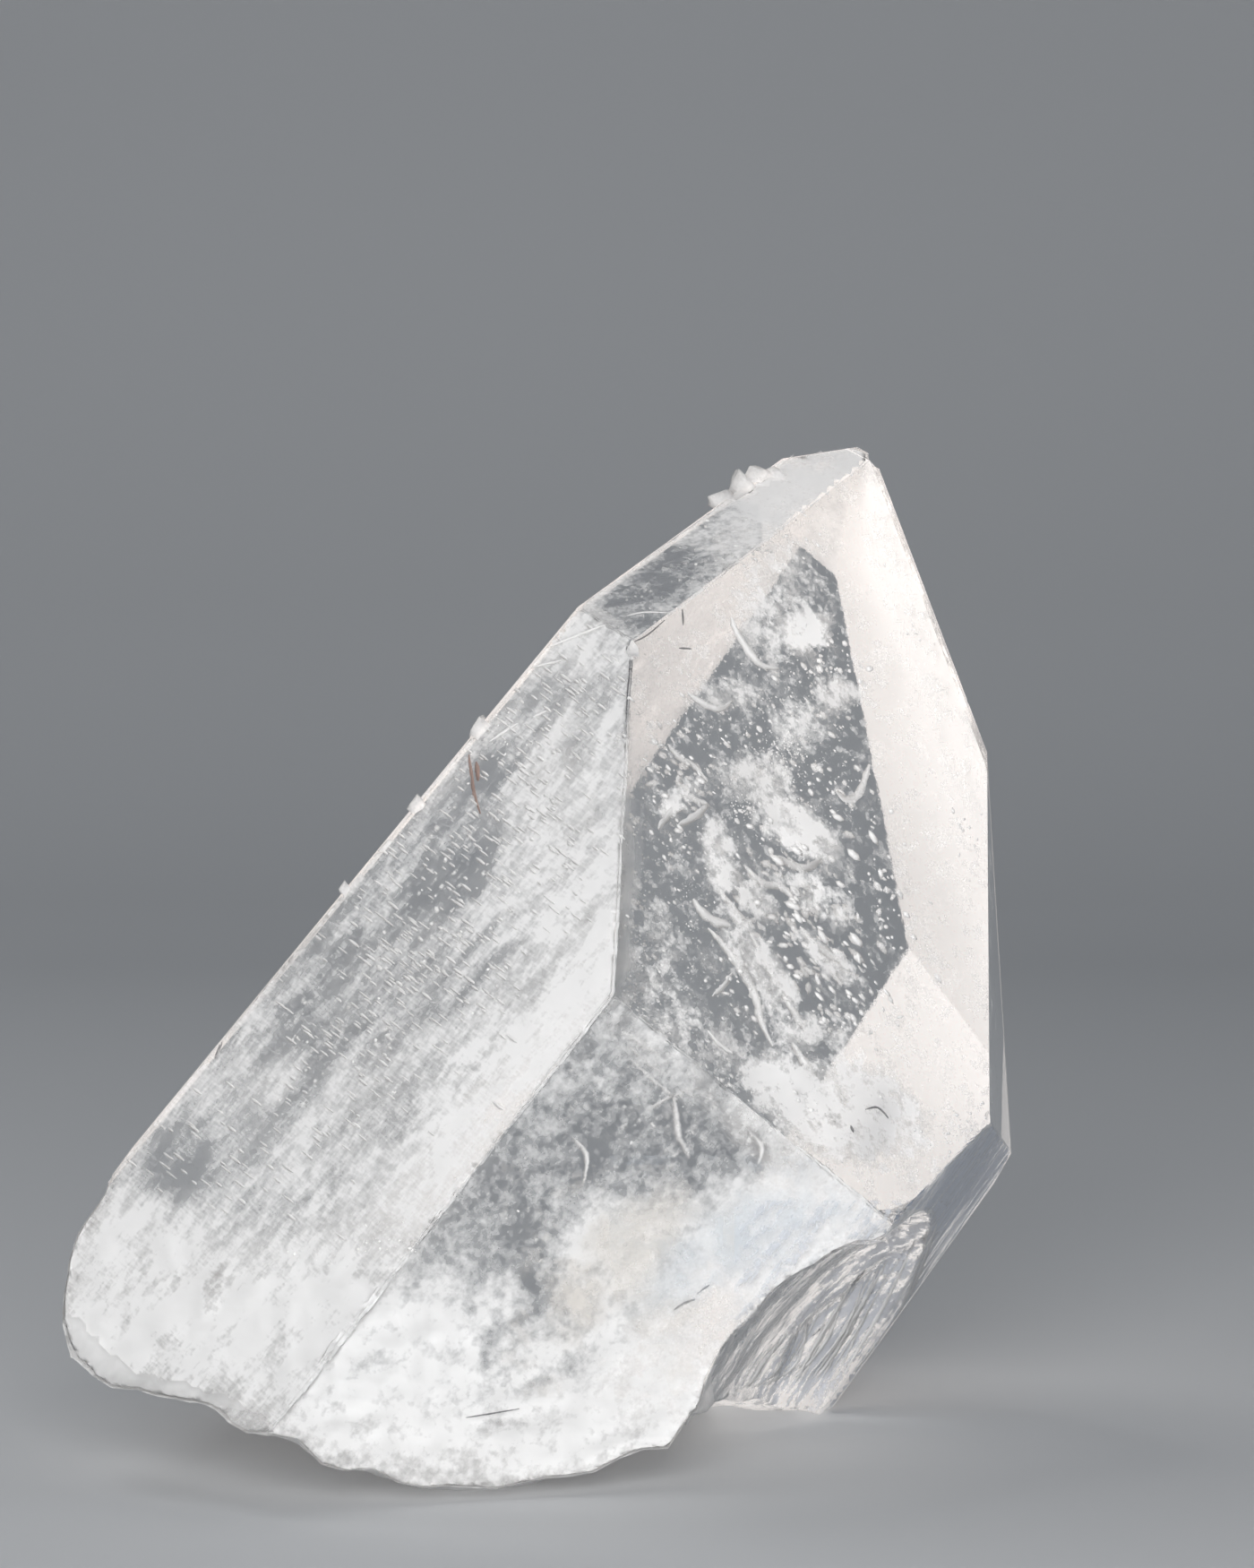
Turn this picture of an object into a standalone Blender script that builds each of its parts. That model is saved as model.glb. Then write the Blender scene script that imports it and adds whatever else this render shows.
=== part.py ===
"""Quartz crystal: one leaning prism with a six-sided point and a broken foot.

The crystal is one closed solid. It is cut from a block by its growth faces, and then
the broken surfaces are cut away: the foot, the left end, the shell-shaped break low on
the right, and small chips. Small crumbs that have grown on the edges are joined to it.

Lengths in the tables are millimetres, and the mesh is in metres. Z is up, X runs to the
right and Y away from the viewer of the front. The crystal stands on z = 0.
"""

import math
import random

import bmesh
import bpy
from mathutils import Matrix, Vector, noise

MM = 0.001

# Direction of the crystal's long axis: it leans to the right and a little back.
LEAN_RIGHT = math.radians(38.16)
LEAN_BACK = math.radians(8.61)
SPIN = math.radians(-129.31)

# The growth faces are measured from this point inside the crystal.
HEART = Vector((0.0, 0.0, 34.37))

# Middle of the bounding box in X and Y, measured in the working frame.
MIDDLE = Vector((-4.540, -10.128, 0.0))

BLOCK_SIZE = 260.0

# Prism faces: bearing about the long axis, angle from it (degrees), distance from the heart.
PRISM_FACES = {
    "left front": (0.0, 90.0, 28.90),
    "front": (60.0, 90.0, 36.76),
    "lower right": (119.08, 88.02, 33.16),
    "back right": (180.35, 89.31, 25.99),
    "back": (239.90, 88.67, 18.10),
    "left back": (300.69, 88.81, 17.30),
}

# Faces of the pointed end, with the same three values. Quartz has them at 51.8 degrees.
POINT_FACES = {
    "upper left strip": (0.0, 51.79, 35.92),
    "great front face": (60.0, 51.79, 27.67),
    "narrow right face": (117.44, 50.46, 31.69),
    "right back face": (180.0, 51.29, 25.15),
    "small back face": (240.29, 51.83, 34.80),
    "crest face": (300.0, 51.79, 40.14),
}

# Underside of the broken foot: height of the break at these places (x, y, z).
FOOT_RIM = (
    (-43.5, -26.0, 12.5),
    (-40.0, -30.4, 9.0),
    (-38.4, -33.0, 7.5),
    (-34.7, -35.6, 7.4),
    (-31.1, -38.1, 7.3),
    (-25.0, -43.4, 5.8),
    (-18.6, -41.3, 2.9),
    (-13.4, -39.6, 1.1),
    (-8.6, -38.1, 0.8),
    (-7.0, -38.0, 1.5),
    (-4.2, -37.0, 1.6),
    (4.2, -34.7, 3.0),
    (6.4, -34.3, 6.0),
    (8.2, -16.0, 3.5),
    (10.5, -11.0, 2.9),
    (12.5, -6.0, 1.6),
    (14.5, -3.0, 0.8),
    (17.5, -1.5, 0.5),
)
FOOT_INSIDE = (
    (-30.0, -20.0, 4.2),
    (-3.0, -16.0, 2.8),
    (0.0, 4.0, 1.8),
    (-38.0, -8.0, 6.0),
    (2.0, -25.0, 3.6),
    (-12.0, -1.0, 2.4),
    (-26.0, 1.0, 2.6),
)
FOOT_BACK = (
    (-44.0, 8.0, 7.6),
    (-34.0, 11.0, 4.4),
    (-24.0, 13.0, 2.6),
    (-9.0, 12.0, 2.0),
    (-8.0, 21.0, 3.6),
    (6.0, 12.0, 2.4),
    (14.0, 11.0, 3.0),
)
# The break goes below the table here, and the table plane cuts it flat: three rests.
FOOT_RESTS = (
    (-11.5, -31.5, -1.0),
    (-9.3, -31.0, -0.9),
    (-10.5, -28.5, -0.6),
    (15.6, 2.4, -0.9),
    (13.0, 4.6, -1.2),
    (15.5, 6.0, -0.8),
    (-20.0, 5.0, -0.9),
    (-17.5, 8.5, -0.8),
    (-15.5, 5.5, -0.7),
)
FOOT_SIZE = (84.0, 92.0)
FOOT_CENTRE = (-14.0, -6.0)
FOOT_CELLS = (46, 50)
FOOT_ROUGHNESS = 0.50
FOOT_GRAIN = 0.22
FOOT_PULL = 3.0
FOOT_DROP = 40.0

# Break that takes off the left end.
LEFT_BREAK_POINT = Vector((-42.3, -26.0, 13.6))
LEFT_BREAK_NORMAL = Vector((-0.98, 0.20, 0.0))
# Above and below its middle it is round first and then straight: roundness, round height.
LEFT_BREAK_ABOVE = (0.036, 9.6)
LEFT_BREAK_BELOW = (0.10, 3.0)
LEFT_BREAK_SIZE = 92.0
LEFT_BREAK_CELLS = 42
LEFT_BREAK_ROUGHNESS = 0.40
LEFT_BREAK_GRAIN = 0.22
LEFT_BREAK_DEPTH = 30.0

# Shell-shaped break low on the right.
SHELL_CENTRE = Vector((18.2, -21.2, 5.2))
SHELL_ACROSS = Vector((0.398, 0.914, -0.074))
SHELL_HALF_SIZES = (20.0, 16.0, 9.0)
SHELL_RIPPLE_SOURCE = Vector((11.0, -33.5, 16.0))
SHELL_RIPPLE_LENGTH = 5.2
SHELL_RIPPLE_HEIGHT = 0.24
SHELL_RIPPLE_BEND = 2.6
SHELL_GRAIN = 0.16

# Chips knocked off edges: centre, radius, squash along the vertical.
CHIPS = (
    ((22.6, 6.4, 79.0), 1.30, 1.0),
    ((29.8, 0.4, 58.9), 0.60, 1.2),
    ((30.1, -19.9, 26.6), 1.00, 1.3),
    ((1.7, -21.6, 63.4), 0.70, 1.4),
)

# Crumbs grown on the left edge and on the crest: centre, size, stretch along the edge.
CRUMBS = (
    ((-10.1, -17.5, 56.8), 1.15, 1.5),
    ((-15.2, -18.3, 50.8), 0.85, 1.3),
    ((-17.6, -18.8, 47.7), 0.70, 1.6),
    ((-20.8, -19.0, 44.2), 0.90, 1.0),
    ((9.3, 0.9, 75.3), 1.50, 1.0),
    ((10.5, 2.2, 76.4), 1.80, 1.0),
    ((11.9, 3.2, 76.9), 1.80, 1.1),
    ((13.6, 4.0, 77.1), 1.70, 1.2),
)
CRUMB_SHAKE = 0.28

QUARTZ_COLOUR = (0.86, 0.87, 0.89, 1.0)
QUARTZ_ROUGHNESS = 0.06


def clear_scene():
    """Remove every object left from before."""
    for thing in list(bpy.data.objects):
        bpy.data.objects.remove(thing, do_unlink=True)


def crystal_turn():
    """Rotation from the crystal's own axes to the standing frame."""
    back = Matrix.Rotation(-LEAN_BACK, 3, "X")
    right = Matrix.Rotation(LEAN_RIGHT, 3, "Y")
    spin = Matrix.Rotation(SPIN, 3, "Z")
    return back @ right @ spin


def face_normal(bearing, inclination):
    """Outward normal of a growth face in the standing frame."""
    bearing = math.radians(bearing)
    inclination = math.radians(inclination)
    flat = math.sin(inclination)
    own = Vector((flat * math.cos(bearing), flat * math.sin(bearing), math.cos(inclination)))
    return crystal_turn() @ own


def placed(point):
    """Move a point of the working frame to the origin of the part, in metres."""
    return (Vector(point) - MIDDLE) * MM


def quartz_material():
    """Clear colourless quartz."""
    material = bpy.data.materials.new("quartz")
    material.use_nodes = True
    shader = material.node_tree.nodes["Principled BSDF"]
    shader.inputs["Base Color"].default_value = QUARTZ_COLOUR
    shader.inputs["Roughness"].default_value = QUARTZ_ROUGHNESS
    shader.inputs["Metallic"].default_value = 0.0
    material.diffuse_color = QUARTZ_COLOUR
    return material


def object_from(bm, name):
    """Put a bmesh in the scene as an object, moved to the origin of the part."""
    bmesh.ops.recalc_face_normals(bm, faces=bm.faces)
    if bm.calc_volume(signed=True) < 0.0:
        bmesh.ops.reverse_faces(bm, faces=bm.faces)
    for vert in bm.verts:
        vert.co = placed(vert.co)
    mesh = bpy.data.meshes.new(name)
    bm.to_mesh(mesh)
    bm.free()
    thing = bpy.data.objects.new(name, mesh)
    bpy.context.scene.collection.objects.link(thing)
    return thing


def as_tool(thing):
    """A cutter or an addition isn't a piece of its own."""
    thing.hide_render = True
    thing.display_type = "WIRE"
    return thing


def cut_flat(bm, point, normal):
    """Cut the solid by a plane and close the cut."""
    everything = bm.verts[:] + bm.edges[:] + bm.faces[:]
    bmesh.ops.bisect_plane(
        bm, geom=everything, plane_co=point, plane_no=normal, dist=0.0001, clear_outer=True
    )
    open_edges = [edge for edge in bm.edges if edge.is_boundary]
    if open_edges:
        bmesh.ops.holes_fill(bm, edges=open_edges, sides=0)


def grown_crystal():
    """The whole crystal as it grew, before anything broke off."""
    bm = bmesh.new()
    bmesh.ops.create_cube(bm, size=BLOCK_SIZE)
    bmesh.ops.translate(bm, verts=bm.verts, vec=HEART)
    for faces in (PRISM_FACES, POINT_FACES):
        for bearing, inclination, distance in faces.values():
            normal = face_normal(bearing, inclination)
            cut_flat(bm, HEART + normal * distance, normal)
    return object_from(bm, "quartz_crystal")


def foot_height(x, y):
    """Height of the broken underside at a place."""
    total = 0.0
    weights = 0.0
    for px, py, pz in FOOT_RIM + FOOT_INSIDE + FOOT_BACK + FOOT_RESTS:
        weight = 1.0 / (math.hypot(x - px, y - py) ** FOOT_PULL + 0.05)
        total += weight * pz
        weights += weight
    rough = noise.fractal(Vector((x, y, 3.0)) * FOOT_GRAIN, 0.7, 2.1, 4)
    return total / weights + FOOT_ROUGHNESS * rough


def foot_cutter():
    """Everything under the broken foot."""
    bm = bmesh.new()
    bmesh.ops.create_grid(bm, x_segments=FOOT_CELLS[0], y_segments=FOOT_CELLS[1], size=0.5)
    for vert in bm.verts:
        x = FOOT_CENTRE[0] + vert.co.x * FOOT_SIZE[0]
        y = FOOT_CENTRE[1] + vert.co.y * FOOT_SIZE[1]
        vert.co = Vector((x, y, foot_height(x, y)))
    grown = bmesh.ops.extrude_face_region(bm, geom=bm.faces[:])
    lowered = [item for item in grown["geom"] if isinstance(item, bmesh.types.BMVert)]
    for vert in lowered:
        vert.co.z = -FOOT_DROP
    return as_tool(object_from(bm, "foot_cutter"))


def table_cutter():
    """Everything under the table top, so that the rests are flat."""
    bm = bmesh.new()
    bmesh.ops.create_cube(bm, size=BLOCK_SIZE)
    bmesh.ops.translate(bm, verts=bm.verts, vec=Vector((0.0, 0.0, -BLOCK_SIZE / 2.0)))
    return as_tool(object_from(bm, "table_cutter"))


def left_break_bulge(height):
    """How far the rounded left break falls back at a height above its middle."""
    roundness, round_height = LEFT_BREAK_BELOW if height < 0.0 else LEFT_BREAK_ABOVE
    bent = min(abs(height), round_height)
    straight = abs(height) - bent
    return roundness * bent * (bent + 2.0 * straight)


def left_break_cutter():
    """A rough break across the left end."""
    bm = bmesh.new()
    cells = LEFT_BREAK_CELLS
    bmesh.ops.create_grid(bm, x_segments=cells, y_segments=cells, size=LEFT_BREAK_SIZE / 2.0)
    turn = LEFT_BREAK_NORMAL.to_track_quat("Z", "Y").to_matrix()
    for vert in bm.verts:
        spot = turn @ vert.co + LEFT_BREAK_POINT
        inward = left_break_bulge(spot.z - LEFT_BREAK_POINT.z)
        inward -= LEFT_BREAK_ROUGHNESS * noise.fractal(spot * LEFT_BREAK_GRAIN, 0.7, 2.1, 4)
        vert.co = spot - LEFT_BREAK_NORMAL * inward
    grown = bmesh.ops.extrude_face_region(bm, geom=bm.faces[:])
    moved = [item for item in grown["geom"] if isinstance(item, bmesh.types.BMVert)]
    bmesh.ops.translate(bm, verts=moved, vec=LEFT_BREAK_NORMAL * LEFT_BREAK_DEPTH)
    return as_tool(object_from(bm, "left_break_cutter"))


def shell_cutter():
    """A rippled ellipsoid that leaves the shell-shaped break."""
    axis = crystal_turn() @ Vector((0.0, 0.0, 1.0))
    across = SHELL_ACROSS.normalized()
    outward = across.cross(axis).normalized()
    along = outward.cross(across).normalized()
    bm = bmesh.new()
    bmesh.ops.create_icosphere(bm, subdivisions=5, radius=1.0)
    for vert in bm.verts:
        local = vert.co.copy()
        spot = SHELL_CENTRE.copy()
        spot += across * (local.x * SHELL_HALF_SIZES[0])
        spot += along * (local.y * SHELL_HALF_SIZES[1])
        spot += outward * (local.z * SHELL_HALF_SIZES[2])
        distance = (spot - SHELL_RIPPLE_SOURCE).length
        distance += SHELL_RIPPLE_BEND * noise.noise(spot * SHELL_GRAIN)
        wave = math.sin(2.0 * math.pi * distance / SHELL_RIPPLE_LENGTH)
        spot -= outward * (wave * SHELL_RIPPLE_HEIGHT)
        vert.co = spot
    return as_tool(object_from(bm, "shell_cutter"))


def chip_cutter(number, centre, radius, squash):
    """A small crumpled hollow at an edge."""
    chance = random.Random(40 + number)
    bm = bmesh.new()
    bmesh.ops.create_icosphere(bm, subdivisions=2, radius=radius)
    for vert in bm.verts:
        size = chance.uniform(0.78, 1.12)
        local = Vector((vert.co.x * size, vert.co.y * size, vert.co.z * size * squash))
        vert.co = local + Vector(centre)
    return as_tool(object_from(bm, "chip_%02d" % number))


def crumb(number, centre, size, stretch):
    """A small crooked block grown on at an edge."""
    chance = random.Random(70 + number)
    axis = crystal_turn() @ Vector((0.0, 0.0, 1.0))
    turn = axis.to_track_quat("Z", "Y").to_matrix()
    turn = turn @ Matrix.Rotation(chance.uniform(0.0, math.pi), 3, "Z")
    shake = size * CRUMB_SHAKE
    bm = bmesh.new()
    bmesh.ops.create_cube(bm, size=size)
    bmesh.ops.triangulate(bm, faces=bm.faces)
    for vert in bm.verts:
        local = Vector((vert.co.x, vert.co.y, vert.co.z * stretch))
        local += Vector([chance.uniform(-shake, shake) for _ in range(3)])
        vert.co = turn @ local + Vector(centre)
    return as_tool(object_from(bm, "crumb_%02d" % number))


def combine(body, tool, operation):
    """Add an exact Boolean with a tool object."""
    modifier = body.modifiers.new(tool.name, "BOOLEAN")
    modifier.operation = operation
    modifier.solver = "EXACT"
    modifier.object = tool


def build():
    """Build the crystal."""
    clear_scene()
    body = grown_crystal()
    for number, (centre, size, stretch) in enumerate(CRUMBS):
        combine(body, crumb(number, centre, size, stretch), "UNION")
    combine(body, left_break_cutter(), "DIFFERENCE")
    combine(body, shell_cutter(), "DIFFERENCE")
    for number, (centre, radius, squash) in enumerate(CHIPS):
        combine(body, chip_cutter(number, centre, radius, squash), "DIFFERENCE")
    combine(body, foot_cutter(), "DIFFERENCE")
    combine(body, table_cutter(), "DIFFERENCE")
    body.data.materials.append(quartz_material())
    return body


build()
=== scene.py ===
"""Looks of the quartz crystal: clear glassy body with veils, flecks and a milky foot inside.

Lengths in the tables are millimetres in the part's own frame, and meshes are in metres.
A place named by a column and a row is a pixel of the photograph. The line of sight through
that pixel is bent by the crystal's surface, as it is in real quartz, and then followed for a
depth inside.
"""

import math
import random

import bmesh
import bpy
from bpy.props import FloatProperty, FloatVectorProperty, IntProperty, PointerProperty
from mathutils import Matrix, Vector, noise
from mathutils.bvhtree import BVHTree


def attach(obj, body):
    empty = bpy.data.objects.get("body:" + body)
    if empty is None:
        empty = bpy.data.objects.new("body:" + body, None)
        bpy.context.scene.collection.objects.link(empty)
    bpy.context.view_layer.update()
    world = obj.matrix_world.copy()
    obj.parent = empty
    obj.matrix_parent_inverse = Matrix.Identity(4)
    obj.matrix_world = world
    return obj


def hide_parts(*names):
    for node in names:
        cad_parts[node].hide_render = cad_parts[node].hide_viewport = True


bl_info = {
    "name": "Quartz crystal looks",
    "version": (1, 0, 0),
    "blender": (4, 5, 0),
    "location": "3D View > Sidebar > Quartz",
    "description": "Builds the clear crystal, what has grown inside it, and its stage",
    "category": "Object",
}

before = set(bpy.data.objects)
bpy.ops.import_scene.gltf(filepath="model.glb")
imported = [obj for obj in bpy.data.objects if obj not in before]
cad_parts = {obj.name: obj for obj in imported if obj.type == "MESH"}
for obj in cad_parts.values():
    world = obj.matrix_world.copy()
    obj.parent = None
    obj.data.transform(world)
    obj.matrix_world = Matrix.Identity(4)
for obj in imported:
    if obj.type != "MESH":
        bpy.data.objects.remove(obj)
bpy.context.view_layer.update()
CAD_NODE = "quartz_crystal"

MM = 0.001

# Camera of the photograph: image size and focal length in pixels, place in millimetres.
IMAGE_WIDTH = 1400
IMAGE_HEIGHT = 1750
FOCAL_PIXELS = 5000.0
SENSOR_WIDTH = 36.0
CAMERA_PLACE = Vector((5.72, -359.03, 64.81))
CAMERA_DOWN = math.radians(2.0)

QUARTZ_IOR = 1.544
# A frosted break lets this share of what the clear faces let pass reach the shadows.
FROST_SHADOW_SHARE = 0.6
# Two normals are the same face's when the cosine between them is at least this.
FACE_MATCH = 0.9995

# The crystal's long axis, and the outward normals of the faces that show in front.
LONG_AXIS = Vector((0.618, 0.118, 0.777))
LEFT_FACE = Vector((-0.498, -0.706, 0.503))
FRONT_FACE = Vector((0.278, -0.958, -0.076))
GREAT_FACE = Vector((0.601, -0.680, 0.421))
UPPER_LEFT_FACE = Vector((-0.009, -0.482, 0.876))
LOWER_RIGHT_FACE = Vector((0.788, -0.261, -0.557))

# A face larger than this is a growth face or a flat rest, and smaller ones are broken surface.
GROWTH_FACE_AREA = 20.0 * MM * MM
FLAT_ANGLE = math.radians(0.4)


def node_bmesh():
    """The crystal's solid with its triangles joined to whole faces."""
    bm = bmesh.new()
    bm.from_mesh(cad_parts[CAD_NODE].data)
    bmesh.ops.remove_doubles(bm, verts=bm.verts, dist=1e-7)
    bmesh.ops.dissolve_limit(bm, angle_limit=FLAT_ANGLE, verts=bm.verts, edges=bm.edges)
    bm.normal_update()
    return bm


class Surface:
    """The crystal's surface, for finding what is inside it."""

    def __init__(self):
        bm = node_bmesh()
        large = [face for face in bm.faces if face.calc_area() > GROWTH_FACE_AREA]
        self.planes = [(face.normal.copy(), face.normal.dot(face.verts[0].co)) for face in large]
        bmesh.ops.triangulate(bm, faces=bm.faces)
        self.tree = BVHTree.FromBMesh(bm)
        bm.free()

    def depth(self, point):
        """How far a point is under the surface, in metres. It is negative outside."""
        least = min(level - normal.dot(point) for normal, level in self.planes)
        if least < 0.0:
            return least
        spot, normal, _, distance = self.tree.find_nearest(point)
        return distance if (point - spot).dot(normal) < 0.0 else -distance

    def growth_face(self, direction):
        """Normal and level of the growth face that faces most nearly this way."""
        return max(self.planes, key=lambda plane: plane[0].dot(direction))

    def clip(self, bm, margin):
        """Cut a sheet off where it would come nearer than the margin to the surface."""
        for normal, level in self.planes:
            everything = bm.verts[:] + bm.edges[:] + bm.faces[:]
            point = normal * (level - margin)
            bmesh.ops.bisect_plane(
                bm, geom=everything, plane_co=point, plane_no=normal, dist=1e-8, clear_outer=True
            )
        keep_where(bm, lambda point: self.depth(point) > margin * 0.6)


SURFACE = Surface()


def camera_turn():
    """Rotation of the camera, which looks along Y and a little down."""
    return Matrix.Rotation(math.pi / 2.0 - CAMERA_DOWN, 3, "X")


def seen_at(column, row, depth, face=None):
    """Point inside the crystal behind a pixel of the photograph, or None beside it.

    With a face's normal, it is also None where the pixel shows another face.
    """
    across = (column - IMAGE_WIDTH / 2.0) / FOCAL_PIXELS
    upward = (IMAGE_HEIGHT / 2.0 - row) / FOCAL_PIXELS
    sight = (camera_turn() @ Vector((across, upward, -1.0))).normalized()
    hit, normal, _, _ = SURFACE.tree.ray_cast(CAMERA_PLACE * MM, sight)
    if hit is None:
        return None
    if face is not None and normal.dot(face) < FACE_MATCH:
        return None
    cosine = -sight.dot(normal)
    ratio = 1.0 / QUARTZ_IOR
    bent = math.sqrt(1.0 - ratio * ratio * (1.0 - cosine * cosine))
    inward = sight * ratio + normal * (ratio * cosine - bent)
    return hit + inward * (depth * MM)


def finished_piece(bm, name, material, smooth=False):
    """Put a bmesh in the scene as a piece of the crystal."""
    if smooth:
        for face in bm.faces:
            face.smooth = True
    mesh = bpy.data.meshes.new(name)
    bm.to_mesh(mesh)
    bm.free()
    for one in material if isinstance(material, tuple) else (material,):
        mesh.materials.append(one)
    piece = bpy.data.objects.new(name, mesh)
    bpy.context.scene.collection.objects.link(piece)
    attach(piece, "root")
    return piece


def new_material(name):
    """A node material, its tree and its Principled shader."""
    material = bpy.data.materials.new(name)
    material.use_nodes = True
    tree = material.node_tree
    return material, tree, tree.nodes["Principled BSDF"]


def add_node(tree, kind, **values):
    """Add a node and set its properties."""
    node = tree.nodes.new(kind)
    for name, value in values.items():
        setattr(node, name, value)
    return node


def wire(tree, source, target):
    """Link two sockets."""
    tree.links.new(source, target)


def number(tree, operation, first, second=0.0, third=0.0):
    """A Math node. Each value is a number or a socket."""
    node = add_node(tree, "ShaderNodeMath", operation=operation)
    for socket, value in zip(node.inputs, (first, second, third)):
        if isinstance(value, bpy.types.NodeSocket):
            wire(tree, value, socket)
        else:
            socket.default_value = value
    return node.outputs["Value"]


def new_group(name, inputs, outputs):
    """A node group with float inputs and defaults, and float or vector outputs."""
    tree = bpy.data.node_groups.new(name, "ShaderNodeTree")
    for label, default in inputs.items():
        socket = tree.interface.new_socket(label, in_out="INPUT", socket_type="NodeSocketFloat")
        socket.default_value = default
    for label, kind in outputs.items():
        tree.interface.new_socket(label, in_out="OUTPUT", socket_type=kind)
    return tree, tree.nodes.new("NodeGroupInput"), tree.nodes.new("NodeGroupOutput")


def use_group(tree, group, **values):
    """Place a node group with its own values."""
    node = add_node(tree, "ShaderNodeGroup", node_tree=group)
    for name, value in values.items():
        node.inputs[name.replace("_", " ")].default_value = value
    return node


def growth_axes_group():
    """Object coordinates in millimetres, along the crystal's own axes.

    X runs across the left front face, Y out of it and Z along the crystal.
    """
    group, _, result = new_group("growth axes", {}, {"Place": "NodeSocketVector"})
    place = add_node(group, "ShaderNodeTexCoord").outputs["Object"]
    joined = add_node(group, "ShaderNodeCombineXYZ")
    along = LONG_AXIS.normalized()
    outward = (LEFT_FACE - along * LEFT_FACE.dot(along)).normalized()
    for axis, socket in zip((along.cross(outward), outward, along), joined.inputs):
        measure = add_node(group, "ShaderNodeVectorMath", operation="DOT_PRODUCT")
        measure.inputs[1].default_value = axis / MM
        wire(group, place, measure.inputs[0])
        wire(group, measure.outputs["Value"], socket)
    wire(group, joined.outputs["Vector"], result.inputs["Place"])
    return group


def grain_group(axes):
    """Cloudy noise, drawn out along or across the crystal, from 0 to 1."""
    inputs = {"Grain": 1.0, "Across": 1.0, "Along": 1.0, "Low": 0.4, "High": 0.6, "Seed": 0.0}
    group, given, result = new_group("growth grain", inputs, {"Mask": "NodeSocketFloat"})
    place = use_group(group, axes).outputs["Place"]
    parts = add_node(group, "ShaderNodeSeparateXYZ")
    wire(group, place, parts.inputs["Vector"])
    joined = add_node(group, "ShaderNodeCombineXYZ")
    across = number(group, "DIVIDE", parts.outputs["X"], given.outputs["Across"])
    wire(group, across, joined.inputs["X"])
    wire(group, parts.outputs["Y"], joined.inputs["Y"])
    along = number(group, "DIVIDE", parts.outputs["Z"], given.outputs["Along"])
    wire(group, along, joined.inputs["Z"])
    cloud = add_node(group, "ShaderNodeTexNoise", noise_dimensions="4D")
    cloud.inputs["Detail"].default_value = 5.0
    cloud.inputs["Roughness"].default_value = 0.62
    wire(group, joined.outputs["Vector"], cloud.inputs["Vector"])
    wire(group, given.outputs["Seed"], cloud.inputs["W"])
    wire(group, number(group, "DIVIDE", 1.0, given.outputs["Grain"]), cloud.inputs["Scale"])
    spread = add_node(group, "ShaderNodeMapRange", interpolation_type="SMOOTHSTEP")
    wire(group, cloud.outputs["Fac"], spread.inputs["Value"])
    wire(group, given.outputs["Low"], spread.inputs["From Min"])
    wire(group, given.outputs["High"], spread.inputs["From Max"])
    wire(group, spread.outputs["Result"], result.inputs["Mask"])
    return group


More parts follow.
